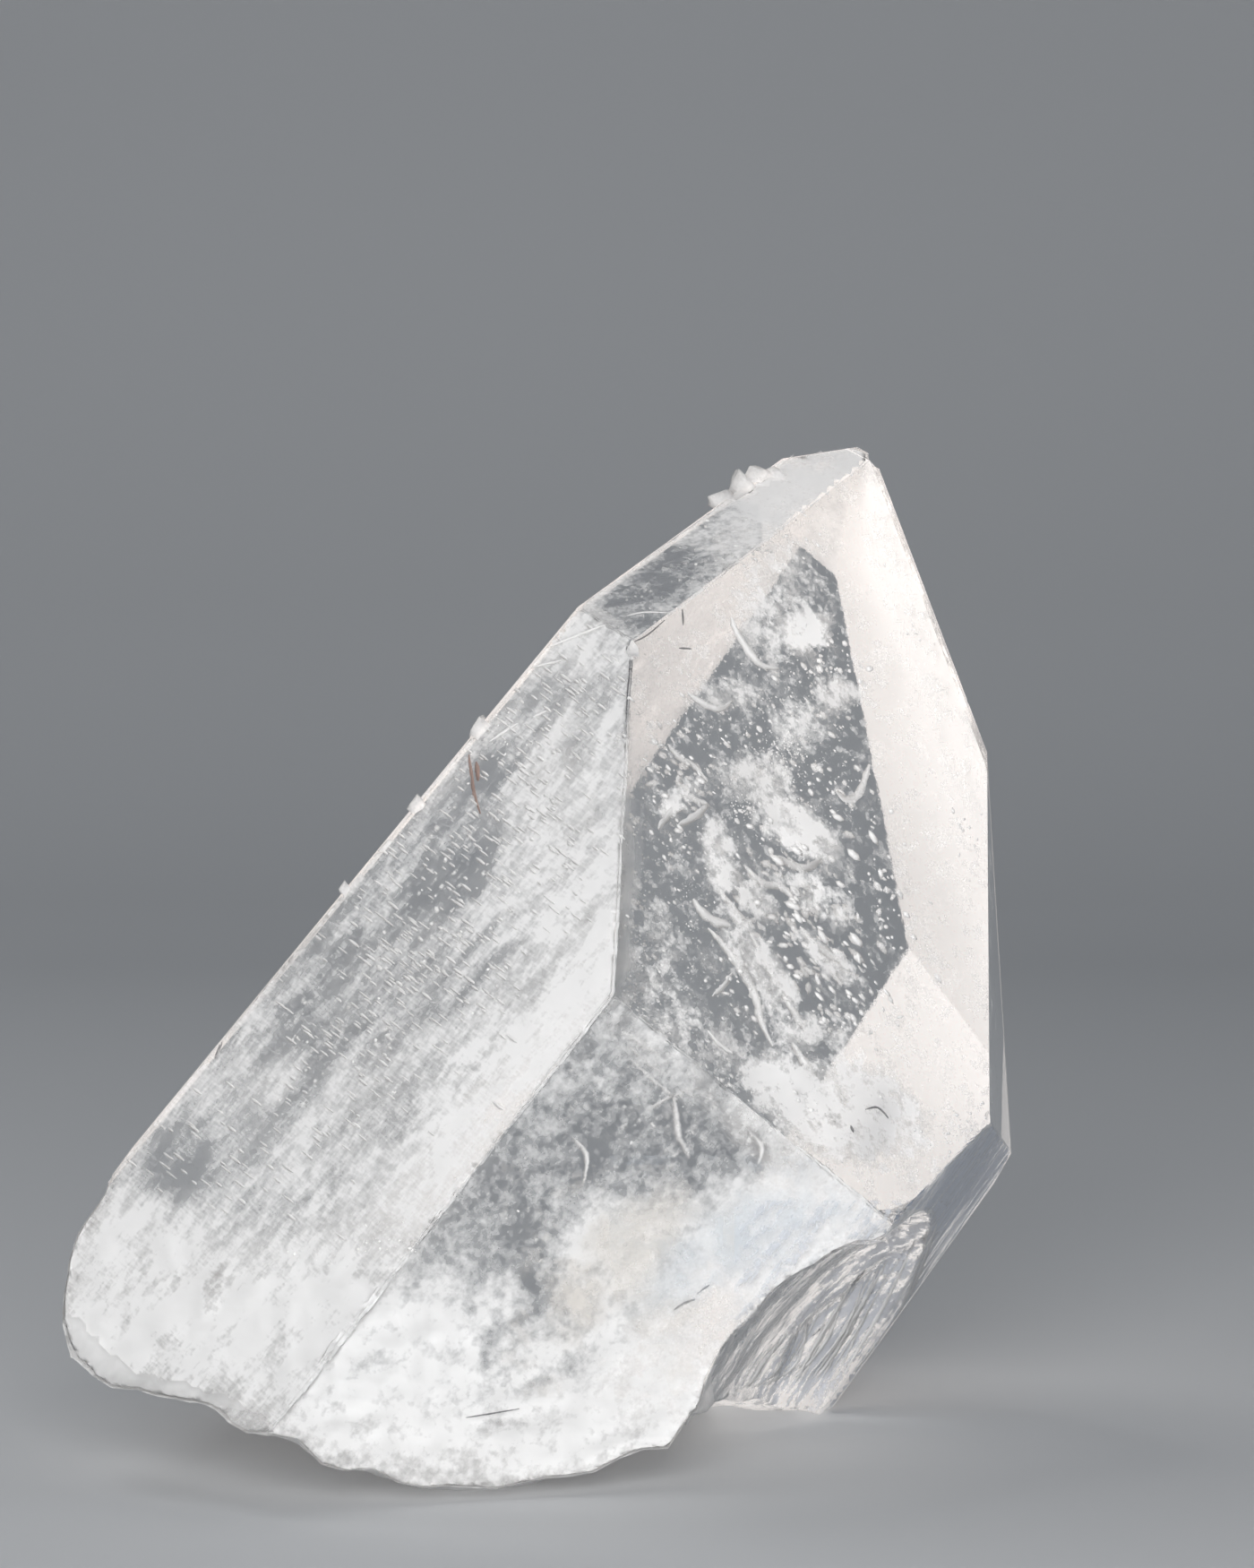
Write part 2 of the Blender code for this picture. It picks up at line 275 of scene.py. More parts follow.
class Finishes:
    """The materials, each made once."""

    def __init__(self, glass, veils):
        self.axes = growth_axes_group()
        self.grain = grain_group(self.axes)
        self.glass = glass
        self.veils = veils

    def clear(self, name, roughness, bump, grain, across, along):
        """Clear quartz with a fine relief."""
        material, tree, shader = new_material(name)
        shader.inputs["Base Color"].default_value = (*self.glass.colour, 1.0)
        shader.inputs["IOR"].default_value = QUARTZ_IOR
        shader.inputs["Transmission Weight"].default_value = 1.0
        values = {"Grain": grain, "Across": across, "Along": along, "Low": 0.25, "High": 0.75}
        relief = use_group(tree, self.grain, **values).outputs["Mask"]
        height = add_node(tree, "ShaderNodeBump")
        height.inputs["Strength"].default_value = 1.0
        height.inputs["Distance"].default_value = bump * MM
        wire(tree, relief, height.inputs["Height"])
        wire(tree, height.outputs["Normal"], shader.inputs["Normal"])
        shader.inputs["Roughness"].default_value = roughness
        shadow = add_node(tree, "ShaderNodeLightPath").outputs["Is Shadow Ray"]
        alpha = number(tree, "MULTIPLY_ADD", shadow, -self.glass.passing, 1.0)
        wire(tree, alpha, shader.inputs["Alpha"])
        return material

    def frosted(self, name, roughness, bump):
        """White broken quartz that lets some light through."""
        material, tree, shader = new_material(name)
        tone = use_group(tree, self.grain, Grain=1.6, Low=0.3, High=0.7).outputs["Mask"]
        mix = add_node(tree, "ShaderNodeMix", data_type="RGBA")
        wire(tree, tone, mix.inputs["Factor"])
        colour = Vector(self.veils.colour)
        mix.inputs["A"].default_value = (*(colour * 0.90), 1.0)
        mix.inputs["B"].default_value = (*colour, 1.0)
        wire(tree, mix.outputs["Result"], shader.inputs["Base Color"])
        shader.inputs["IOR"].default_value = QUARTZ_IOR
        shader.inputs["Transmission Weight"].default_value = self.glass.frost_passing
        shader.inputs["Roughness"].default_value = roughness
        relief = use_group(tree, self.grain, Grain=0.45, Low=0.25, High=0.75).outputs["Mask"]
        height = add_node(tree, "ShaderNodeBump")
        height.inputs["Distance"].default_value = bump * MM
        wire(tree, relief, height.inputs["Height"])
        wire(tree, height.outputs["Normal"], shader.inputs["Normal"])
        shadow = add_node(tree, "ShaderNodeLightPath").outputs["Is Shadow Ray"]
        passing = self.glass.passing * FROST_SHADOW_SHARE
        alpha = number(tree, "MULTIPLY_ADD", shadow, -passing, 1.0)
        wire(tree, alpha, shader.inputs["Alpha"])
        return material

    def white(self, name, roughness=0.5, colour=None, alpha=1.0):
        """White growth inside, a little uneven in tone."""
        material, tree, shader = new_material(name)
        tone = use_group(tree, self.grain, Grain=1.2, Low=0.3, High=0.7).outputs["Mask"]
        mix = add_node(tree, "ShaderNodeMix", data_type="RGBA")
        wire(tree, tone, mix.inputs["Factor"])
        colour = Vector(colour or self.veils.colour)
        mix.inputs["A"].default_value = (*(colour * 0.86), 1.0)
        mix.inputs["B"].default_value = (*colour, 1.0)
        wire(tree, mix.outputs["Result"], shader.inputs["Base Color"])
        shader.inputs["Roughness"].default_value = roughness
        shader.inputs["Alpha"].default_value = alpha
        return material

    def haze(self, name, masks, hardness=1.0, top=1.0, colour=None, painted_glow=0.0):
        """Half-clear white. The sheet's own strength says how much of it there is.

        Each mask adds its swing to the strength, and the hardness sharpens the outcome.
        """
        material, tree, shader = new_material(name)
        shader.inputs["Base Color"].default_value = (*(colour or self.veils.colour), 1.0)
        shader.inputs["Roughness"].default_value = 0.6
        shader.inputs["Specular IOR Level"].default_value = 0.1
        # Emission at this strength is painted light: the sheet gives out light of its own, though
        # it is no lamp.
        shader.inputs["Emission Color"].default_value = (*(colour or self.veils.colour), 1.0)
        shader.inputs["Emission Strength"].default_value = painted_glow
        total = add_node(tree, "ShaderNodeAttribute", attribute_name="strength").outputs["Fac"]
        total = number(tree, "SUBTRACT", total, 0.5)
        for swing, values in masks:
            mask = use_group(tree, self.grain, **values).outputs["Mask"]
            shaken = number(tree, "MULTIPLY_ADD", mask, swing, -swing / 2.0)
            total = number(tree, "ADD", total, shaken)
        total = number(tree, "MULTIPLY_ADD", total, hardness, 0.5)
        limit = add_node(tree, "ShaderNodeClamp")
        wire(tree, total, limit.inputs["Value"])
        wire(tree, number(tree, "MULTIPLY", limit.outputs["Result"], top), shader.inputs["Alpha"])
        return material


def colour_setting(name, description, default):
    """A colour in the panel."""
    return FloatVectorProperty(
        name=name, description=description, subtype="COLOR", default=default, min=0.0, max=1.0
    )


def share_setting(name, description, default):
    """A share from 0 to 1 in the panel."""
    return FloatProperty(
        name=name, description=description, default=default, min=0.0, max=1.0
    )


class QuartzGlassSettings(bpy.types.PropertyGroup):
    """Clear body of the crystal."""

    colour: colour_setting(
        "Colour", "Tint of the light that passes the surface", (0.98, 0.985, 0.99)
    )
    passing: FloatProperty(
        name="Light passed",
        description="Share of the light that reaches what is inside",
        default=0.92,
        min=0.0,
        max=1.0,
        subtype="FACTOR",
    )
    roughness: FloatProperty(
        name="Roughness",
        description="Blur of the broken surfaces",
        default=0.12,
        min=0.0,
        max=1.0,
        subtype="FACTOR",
    )
    frost_passing: FloatProperty(
        name="Light through the frosted breaks",
        description="Share of the light that the white broken surfaces let through",
        default=0.45,
        min=0.0,
        max=1.0,
        subtype="FACTOR",
    )
    break_relief: FloatProperty(
        name="Relief of the breaks",
        description="Height of the fine relief on the broken surfaces",
        default=0.09 * MM,
        min=0.0,
        unit="LENGTH",
    )


class QuartzVeilSettings(bpy.types.PropertyGroup):
    """White things inside the crystal."""

    colour: colour_setting(
        "Colour", "Colour of the veils and flecks", (0.95, 0.94, 0.93)
    )
    warm_colour: colour_setting(
        "Warm colour", "Colour of the milky skin under the back faces", (0.96, 0.925, 0.90)
    )
    # Painted glow: the milky skins give out light of their own, standing in for light that would
    # pass through them from behind.
    painted_glow: share_setting("Glow", "Light that the milky skins scatter back from inside", 0.19)
    near_colour: colour_setting(
        "Near colour", "Colour of the mist just under the front faces", (0.77, 0.765, 0.76)
    )
    crack_colour: colour_setting(
        "Crack colour", "Colour of the dark cracks near the surface", (0.16, 0.16, 0.17)
    )
    rust_colour: colour_setting(
        "Rust colour", "Colour of the rusty stain on the left face", (0.50, 0.33, 0.27)
    )
    cool_colour: colour_setting(
        "Cool colour", "Colour of the streaks behind the lower right face", (0.56, 0.62, 0.74)
    )
    flecks: FloatProperty(
        name="Flecks",
        description="Share of the full number of small flecks",
        default=1.0,
        min=0.0,
        max=4.0,
    )


class QuartzStageSettings(bpy.types.PropertyGroup):
    """Floor, backdrop and lights."""

    floor_colour: colour_setting(
        "Floor colour", "Colour of the floor and of the wall behind it", (0.68, 0.69, 0.70)
    )
    key_power: FloatProperty(
        name="Key light",
        description="Power of the large soft light in front",
        default=3.1,
        min=0.0,
        unit="POWER",
    )
    top_power: FloatProperty(
        name="Top light",
        description="Power of the soft light above, at the back",
        default=0.6,
        min=0.0,
        unit="POWER",
    )
    ambient: FloatProperty(
        name="Ambient light",
        description="Strength of the even light from all round",
        default=0.17,
        min=0.0,
    )


FINISHES = {}


def finishes():
    """The materials, made when the first piece asks for them."""
    if "all" not in FINISHES:
        scene = bpy.context.scene
        FINISHES["all"] = Finishes(scene.quartz_glass, scene.quartz_veils)
    return FINISHES["all"]


# Parts of the clear body: which material each face takes.
PRISM, POINT, BROKEN, GLASSY = 0, 1, 2, 3
PRISM_LIMIT = 0.2
# The hollow at the right of the foot broke clean, like glass.
GLASSY_FROM = 12.5 * MM
GLASSY_BELOW = 32.0 * MM


def sort_faces(bm):
    """Mark broken faces smooth, and give each face its material."""
    along = LONG_AXIS.normalized()
    broken = []
    for face in bm.faces:
        if face.calc_area() < GROWTH_FACE_AREA:
            face.smooth = True
            middle = face.calc_center_median()
            clean = middle.x > GLASSY_FROM and middle.z < GLASSY_BELOW
            face.material_index = GLASSY if clean else BROKEN
            broken.append(face)
        else:
            leaning = abs(face.normal.dot(along))
            face.material_index = PRISM if leaning < PRISM_LIMIT else POINT
    return broken


def roughen_breaks(bm, broken, height):
    """Finer relief on the broken surfaces, which stop where the growth faces start."""
    edges = {edge for face in broken for edge in face.edges}
    edges = [edge for edge in edges if edge.calc_length() > 0.7 * MM]
    bmesh.ops.subdivide_edges(bm, edges=edges, cuts=2, use_grid_fill=True)
    bmesh.ops.triangulate(bm, faces=[face for face in bm.faces if face.material_index >= BROKEN])
    bm.normal_update()
    for vert in bm.verts:
        if all(face.material_index >= BROKEN for face in vert.link_faces):
            place = vert.co / MM
            rough = noise.fractal(place * 0.9, 0.8, 2.1, 4)
            vert.co = vert.co + vert.normal * (height * rough)


class QUARTZ_OT_clear_body(bpy.types.Operator):
    """Make the clear body of the crystal"""

    bl_idname = "quartz.clear_body"
    bl_label = "Clear body"

    def execute(self, context):
        settings = context.scene.quartz_glass
        bm = node_bmesh()
        broken = sort_faces(bm)
        roughen_breaks(bm, broken, settings.break_relief)
        finish = finishes()
        materials = (
            finish.clear("prism face quartz", 0.0, 0.012, 0.9, 4.0, 0.22),
            finish.clear("point face quartz", 0.0, 0.006, 2.0, 1.0, 1.0),
            finish.frosted("frosted break", 0.35, 0.06),
            finish.clear("clean break", settings.roughness, 0.10, 0.8, 0.8, 4.0),
        )
        piece = finished_piece(bm, "clear_body", materials)
        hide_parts(CAD_NODE)
        return {"FINISHED"}


def sheet_through(places, cell, reach):
    """A flat grid through three points, with square cells, and its axes."""
    first, second, third = places
    middle = (first + second + third) / 3.0
    across = (second - first).normalized()
    outward = across.cross(third - first).normalized()
    upward = outward.cross(across)
    cells = max(2, int(2.0 * reach / cell))
    bm = bmesh.new()
    bmesh.ops.create_grid(bm, x_segments=cells, y_segments=cells, size=reach)
    turn = Matrix((across, upward, outward)).transposed()
    for vert in bm.verts:
        vert.co = middle + turn @ vert.co
    return bm, middle, outward


def keep_where(bm, wanted):
    """Delete the faces whose middle isn't wanted, and what is then loose."""
    unwanted = [face for face in bm.faces if not wanted(face.calc_center_median())]
    bmesh.ops.delete(bm, geom=unwanted, context="FACES")
    loose = [vert for vert in bm.verts if not vert.link_faces]
    bmesh.ops.delete(bm, geom=loose, context="VERTS")


def thicken(bm, thickness):
    """Give a sheet two sides."""
    if bm.faces:
        bmesh.ops.solidify(bm, geom=bm.faces[:], thickness=thickness)


def fleck(bm, spot, radius, stretch, turn):
    """A small crooked grain."""
    made = bmesh.ops.create_icosphere(bm, subdivisions=1, radius=radius)["verts"]
    for vert in made:
        local = Vector((vert.co.x, vert.co.y, vert.co.z * stretch))
        vert.co = turn @ local + spot


def any_turn(chance):
    """A random rotation."""
    axis = Vector([chance.uniform(-1.0, 1.0) for _ in range(3)]).normalized()
    return Matrix.Rotation(chance.uniform(0.0, math.tau), 3, axis)


# Where flecks gather: column, row, half width, half height, number at the default, radii,
# stretch and depths. The stretched ones lean down to the right.
FLECK_CLUSTERS = (
    (900, 1000, 60, 45, 110, (0.14, 0.42), 1.9, (3, 20)),
    (925, 1070, 50, 40, 70, (0.14, 0.40), 2.2, (3, 20)),
    (905, 900, 60, 45, 80, (0.10, 0.34), 1.6, (3, 20)),
    (860, 800, 60, 36, 80, (0.10, 0.30), 1.4, (3, 20)),
    (760, 860, 40, 45, 80, (0.10, 0.32), 1.8, (3, 20)),
    (735, 960, 36, 50, 50, (0.08, 0.24), 1.5, (3, 20)),
    (715, 1060, 26, 50, 50, (0.05, 0.20), 1.4, (2, 16)),
    (835, 1110, 40, 40, 50, (0.10, 0.28), 1.5, (3, 18)),
    (990, 1010, 16, 45, 30, (0.10, 0.32), 1.3, (3, 14)),
    (935, 1130, 45, 20, 40, (0.10, 0.34), 1.5, (3, 16)),
    (930, 750, 26, 20, 34, (0.10, 0.30), 1.3, (3, 12)),
    (880, 1225, 70, 36, 90, (0.06, 0.22), 1.5, (2, 12)),
    (1070, 1265, 30, 18, 70, (0.05, 0.16), 1.3, (0.4, 5)),
    (860, 830, 90, 110, 900, (0.03, 0.10), 1.3, (2, 24)),
    (760, 1030, 55, 90, 500, (0.03, 0.09), 1.3, (2, 24)),
    (778, 770, 10, 26, 90, (0.03, 0.09), 1.3, (3, 9)),
    (876, 838, 16, 18, 140, (0.05, 0.12), 1.2, (4, 8)),
    (832, 900, 10, 10, 60, (0.04, 0.10), 1.2, (4, 8)),
    (720, 1230, 70, 55, 260, (0.04, 0.15), 1.8, (0.8, 14)),
    (600, 1350, 55, 55, 200, (0.03, 0.10), 1.3, (0.8, 14)),
    (520, 1000, 60, 90, 170, (0.05, 0.20), 1.6, (0.2, 6)),
    (410, 1150, 70, 70, 150, (0.05, 0.20), 1.6, (0.2, 6)),
    (330, 1165, 8, 8, 14, (0.06, 0.14), 1.2, (0.2, 2)),
    (545, 815, 28, 24, 60, (0.08, 0.24), 1.3, (0.2, 2)),
    (430, 1385, 50, 14, 40, (0.05, 0.14), 1.3, (0.2, 1)),
    (340, 1395, 30, 10, 26, (0.05, 0.14), 1.3, (0.2, 1)),
    (840, 600, 45, 22, 70, (0.06, 0.20), 1.4, (0.4, 5)),
    (1020, 700, 22, 60, 26, (0.06, 0.18), 1.3, (0.6, 5)),
    (1075, 930, 12, 30, 22, (0.06, 0.20), 1.3, (0.6, 4)),
)
FLECK_LEAN = Vector((0.72, 0.20, -0.66))
FLECK_MARGIN = 0.2


# Standard deviation of a fleck cluster, as a share of its half width and half height.
FLECK_SPREAD = 0.75


class QUARTZ_OT_flecks(bpy.types.Operator):
    """Make the small white flecks"""

    bl_idname = "quartz.flecks"
    bl_label = "Flecks"

    def execute(self, context):
        chance = random.Random(11)
        share = context.scene.quartz_veils.flecks
        bm = bmesh.new()
        lean = FLECK_LEAN.to_track_quat("Z", "Y").to_matrix()
        for column, row, half_width, half_height, count, radii, stretch, depths in FLECK_CLUSTERS:
            wide = half_width * FLECK_SPREAD
            high = half_height * FLECK_SPREAD
            for _ in range(int(count * share)):
                place = chance.gauss(column, wide), chance.gauss(row, high)
                depth = chance.uniform(*depths)
                size = radii[0] + (radii[1] - radii[0]) * chance.random() ** 2
                loose = any_turn(chance)
                stretched = stretch * chance.uniform(0.7, 1.3)
                tilt = Matrix.Rotation(chance.gauss(0.0, 0.35), 3, "Y") @ lean
                spot = seen_at(*place, depth)
                if spot is None or SURFACE.depth(spot) < FLECK_MARGIN * MM + size * stretched * MM:
                    continue
                fleck(bm, spot, size * MM, stretched, tilt if stretch > 1.35 else loose)
        finished_piece(bm, "flecks", finishes().white("white fleck", 0.35), smooth=True)
        return {"FINISHED"}


# Threads and cracks behind a pixel path: finish, width in pixels, depth, path.
STROKES = (
    ("thread", 9, 5.0, ((735, 925), (748, 908), (765, 900))),
    ("thread", 9, 5.5, ((757, 921), (775, 912), (791, 897))),
    ("thread", 7, 5.0, ((768, 885), (778, 893), (790, 897))),
    ("thread", 9, 6.0, ((971, 852), (965, 870), (957, 888), (945, 892), (934, 883))),
    ("thread", 9, 4.0, ((816, 688), (822, 705), (835, 725), (850, 742), (870, 746))),
    ("thread", 8, 4.0, ((768, 774), (785, 785), (803, 791), (818, 782))),
    ("thread", 11, 5.0, ((774, 1003), (785, 1020), (803, 1030), (816, 1034))),
    (
        "thread",
        10,
        6.0,
        ((790, 1036), (808, 1055), (826, 1080), (842, 1108), (850, 1140), (863, 1168)),
    ),
    ("thread", 7, 6.0, ((836, 1040), (850, 1064), (866, 1094), (884, 1118))),
    ("thread", 8, 7.0, ((800, 990), (816, 1010), (832, 1028), (846, 1024))),
    ("thread", 8, 7.0, ((830, 965), (850, 985), (872, 990), (888, 1006))),
    ("thread", 9, 8.0, ((893, 1034), (908, 1052), (930, 1068), (948, 1084))),
    ("thread", 7, 8.0, ((922, 1072), (930, 1086), (940, 1100))),
    ("thread", 13, 6.0, ((884, 1164), (904, 1196), (922, 1232), (938, 1256))),
    ("thread", 8, 6.0, ((870, 1105), (890, 1135), (905, 1160))),
    ("thread", 10, 9.0, ((868, 955), (886, 966), (902, 968), (918, 956))),
    ("thread", 7, 9.0, ((745, 830), (758, 845), (775, 855), (790, 872))),
    ("thread", 6, 3.0, ((795, 1112), (808, 1100), (818, 1085))),
    ("thread", 3, 2.0, ((704, 1182), (730, 1206), (752, 1224))),
    ("thread", 7, 2.5, ((752, 1222), (755, 1245), (758, 1268), (770, 1292))),
    ("thread", 4, 2.5, ((752, 1224), (766, 1216), (780, 1214))),
    ("thread", 4, 2.5, ((722, 1240), (738, 1230), (752, 1222))),
    ("thread", 3, 2.5, ((700, 1165), (722, 1186), (744, 1200))),
    ("thread", 7, 2.0, ((694, 1152), (716, 1164), (738, 1180))),
    ("thread", 5, 2.0, ((790, 1150), (804, 1166), (818, 1176))),
    ("thread", 5, 2.0, ((835, 1262), (850, 1280), (846, 1300))),
    ("thread", 5, 2.0, ((640, 1270), (655, 1290), (652, 1320))),
    ("scratch", 3, 0.35, ((612, 722), (645, 709), (676, 697))),
    ("scratch", 3, 0.35, ((593, 745), (610, 741), (627, 737))),
    ("scratch", 3, 0.35, ((546, 828), (562, 817), (579, 807))),
    ("scratch", 3, 0.35, ((594, 801), (602, 797), (611, 793))),
    ("scratch", 1.6, 0.35, ((700, 687), (720, 683), (748, 684))),
    ("crack", 1.6, 0.35, ((702, 722), (704, 745), (701, 770), (699, 806))),
    ("crack", 1.6, 0.35, ((708, 716), (722, 709), (742, 692))),
    ("crack", 2, 0.35, ((758, 723), (772, 724))),
    ("crack", 2, 0.35, ((762, 680), (763, 698))),
    ("crack", 1.5, 0.5, ((520, 1582), (545, 1578), (580, 1572))),
    ("crack", 2.4, 0.5, ((752, 1462), (764, 1454), (776, 1450))),
    ("crack", 1.8, 0.5, ((778, 1444), (786, 1438), (792, 1434))),
    ("crack", 3, 0.6, ((240, 1182), (244, 1172), (248, 1160))),
    ("crack", 3, 0.6, ((262, 1166), (266, 1158), (270, 1150))),
    ("crack", 2.4, 3.0, ((966, 1238), (980, 1236), (992, 1248))),
    ("crack", 3, 3.0, ((950, 1256), (953, 1264))),
    ("crack", 4, 0.6, ((948, 1440), (956, 1430), (966, 1418))),
    ("crack", 3, 0.6, ((955, 1462), (968, 1448), (982, 1432))),
    ("crack", 2, 0.6, ((905, 1492), (922, 1478), (938, 1462))),
    ("rust", 8, 0.35, ((524, 842), (528, 862), (531, 884), (537, 908))),
    ("rust", 5, 0.35, ((532, 850), (534, 872))),
)
STROKE_STEP = 3.0

# Short dashes across the crystal behind the left face: column, row, half widths, number.
DASH_CLUSTERS = (
    (570, 960, 50, 70, 110),
    (500, 1060, 50, 60, 90),
    (430, 1130, 50, 50, 80),
    (370, 1210, 40, 50, 50),
    (610, 860, 40, 50, 70),
    (250, 1280, 50, 40, 50),
    (550, 800, 30, 30, 30),
    (460, 1000, 30, 60, 60),
    (640, 760, 30, 30, 40),
)
DASH_HEADING = Vector((0.79, 0.61))
# Feathered ridges of the hollow: the first one and the last one run between these pixels.
FEATHERS = 24
FEATHER_START = ((1046, 1366), (862, 1500))
FEATHER_END = ((960, 1530), (822, 1552))


def dash_paths(chance):
    """Width, depth and path of each short dash."""
    for column, row, half_width, half_height, count in DASH_CLUSTERS:
        for _ in range(count):
            middle = Vector((chance.gauss(column, half_width), chance.gauss(row, half_height)))
            half = DASH_HEADING * chance.uniform(2.5, 8.0)
            width = chance.uniform(1.4, 3.6)
            yield width, chance.uniform(0.25, 0.5), (tuple(middle - half), tuple(middle + half))


def feather_paths(chance):
    """Width, depth and path of each feathered ridge in the hollow."""
    for index in range(FEATHERS):
        share = index / (FEATHERS - 1)
        start = Vector(FEATHER_START[0]).lerp(Vector(FEATHER_START[1]), share)
        end = Vector(FEATHER_END[0]).lerp(Vector(FEATHER_END[1]), share)
        bend = Vector((chance.uniform(-6.0, 14.0), chance.uniform(-4.0, 12.0)))
        middle = start.lerp(end, 0.5) + bend
        width = chance.uniform(3.0, 8.0)
        depth = chance.uniform(0.2, 0.5)
        yield width, depth, (tuple(start), tuple(middle), tuple(end))


def point_on(path, run):
    """Point and heading on a path of pixels, from 0 at its start to 1 at its end."""
    place = run * (len(path) - 1)
    index = min(int(place), len(path) - 2)
    start, end = Vector(path[index]), Vector(path[index + 1])
    before = Vector(path[max(index - 1, 0)])
    after = Vector(path[min(index + 2, len(path) - 1)])
    share = place - index
    pull_start = (end - before) * 0.5
    pull_end = (after - start) * 0.5
    square, cube = share * share, share ** 3
    spot = start * (2.0 * cube - 3.0 * square + 1.0) + end * (3.0 * square - 2.0 * cube)
    spot = spot + pull_start * (cube - 2.0 * square + share) + pull_end * (cube - square)
    return spot, (end - start).normalized()


def stroke(bm, width, depth, path, seed):
    """A crooked ribbon behind a path of pixels."""
    length = sum((Vector(end) - Vector(start)).length for start, end in zip(path, path[1:]))
    steps = max(3, int(length / STROKE_STEP))
    made = bmesh.ops.create_grid(bm, x_segments=steps, y_segments=2, size=0.5)["verts"]
    missed = []
    for vert in made:
        run = vert.co.x + 0.5
        side = vert.co.y * 2.0
        spot, heading = point_on(path, run)
        taper = math.sin(math.pi * min(max(run, 0.03), 0.97)) ** 0.6
        frayed = 1.0 + 0.5 * noise.noise(Vector((spot.x / 7.0, spot.y / 7.0, seed + side)))
        spot = spot + Vector((-heading.y, heading.x)) * (side * width * 0.5 * taper * frayed)
        raised = (1.0 - side * side) * width * 0.02
        place = seen_at(spot.x, spot.y, depth + side * width * 0.03 - raised)
        if place is None or SURFACE.depth(place) < 0.12 * MM:
            missed.append(vert)
        else:
            vert.co = place
    bmesh.ops.delete(bm, geom=missed, context="VERTS")


class QUARTZ_OT_strokes(bpy.types.Operator):
    """Make the white threads, the scratches, the cracks and the rusty stain"""

    bl_idname = "quartz.strokes"
    bl_label = "Threads and cracks"

    def execute(self, context):
        finish = finishes()
        veils = context.scene.quartz_veils
        chance = random.Random(5)
        materials = {
            "thread": finish.white("white thread", 0.4, alpha=0.75),
            "scratch": finish.white("white scratch", 0.3, alpha=0.85),
            "crack": finish.white("dark crack", 0.4, tuple(veils.crack_colour), 0.65),
            "rust": finish.white("rusty stain", 0.6, tuple(veils.rust_colour), 0.6),
        }
        for kind, material in materials.items():
            bm = bmesh.new()
            for seed, (look, width, depth, path) in enumerate(STROKES):
                if look == kind:
                    stroke(bm, width, depth, path, seed)
            extra = {"scratch": dash_paths, "thread": feather_paths}.get(kind)
            for seed, (width, depth, path) in enumerate(extra(chance) if extra else ()):
                stroke(bm, width, depth, path, seed)
            thicken(bm, 0.03 * MM)
            finished_piece(bm, kind + "_lines", material, smooth=True)
        return {"FINISHED"}


# Cell and half width of the sheet that a skin is cut from, in millimetres.
SKIN_CELL = 2.0
SKIN_REACH = 55.0
# How near a skin comes to the other faces, as a share of its depth.
SKIN_MARGIN = 0.5

# Milky skins under the hidden faces: name, direction, depth, strength.
BACK_SKINS = (
    ("right_back_skin", (0.758, 0.644, 0.104), 0.6, 1.05, "milky skin"),
    ("lower_back_skin", (0.602, 0.708, -0.369), 0.6, 1.0, "milky skin"),
    ("top_back_skin", (0.164, 0.825, 0.540), 0.6, 0.80, "milky skin"),
    ("left_back_skin", (-0.776, 0.251, 0.579), 0.6, 0.80, "streaked skin"),
    ("right_back_veil", (0.758, 0.644, 0.104), 0.25, 0.42, "outer veil"),
    ("lower_back_veil", (0.602, 0.708, -0.369), 0.25, 0.42, "outer veil"),
    ("top_back_veil", (0.164, 0.825, 0.540), 0.25, 0.42, "outer veil"),
    ("left_back_veil", (-0.776, 0.251, 0.579), 0.25, 0.42, "outer veil"),
)


def back_skin(name, direction, depth, strength, material):
    """A milky skin under a growth face, cut off just inside the other faces."""
    normal, level = SURFACE.growth_face(direction)
    bm = node_bmesh()
    large = [face for face in bm.faces if face.calc_area() > GROWTH_FACE_AREA]
    face = max(large, key=lambda one: one.normal.dot(normal))
    middle = face.calc_center_median() - normal * depth * MM
    bm.free()
    side = normal.orthogonal().normalized()
    places = (middle, middle + side * MM, middle + normal.cross(side) * MM)
    bm, centre, _ = sheet_through(places, SKIN_CELL * MM, SKIN_REACH * MM)
    bmesh.ops.translate(bm, verts=bm.verts, vec=middle - centre)
    SURFACE.clip(bm, depth * SKIN_MARGIN * MM)
    layer = bm.verts.layers.float.new("strength")
    for vert in bm.verts:
        vert[layer] = strength
    return finished_piece(bm, name, material, smooth=True)


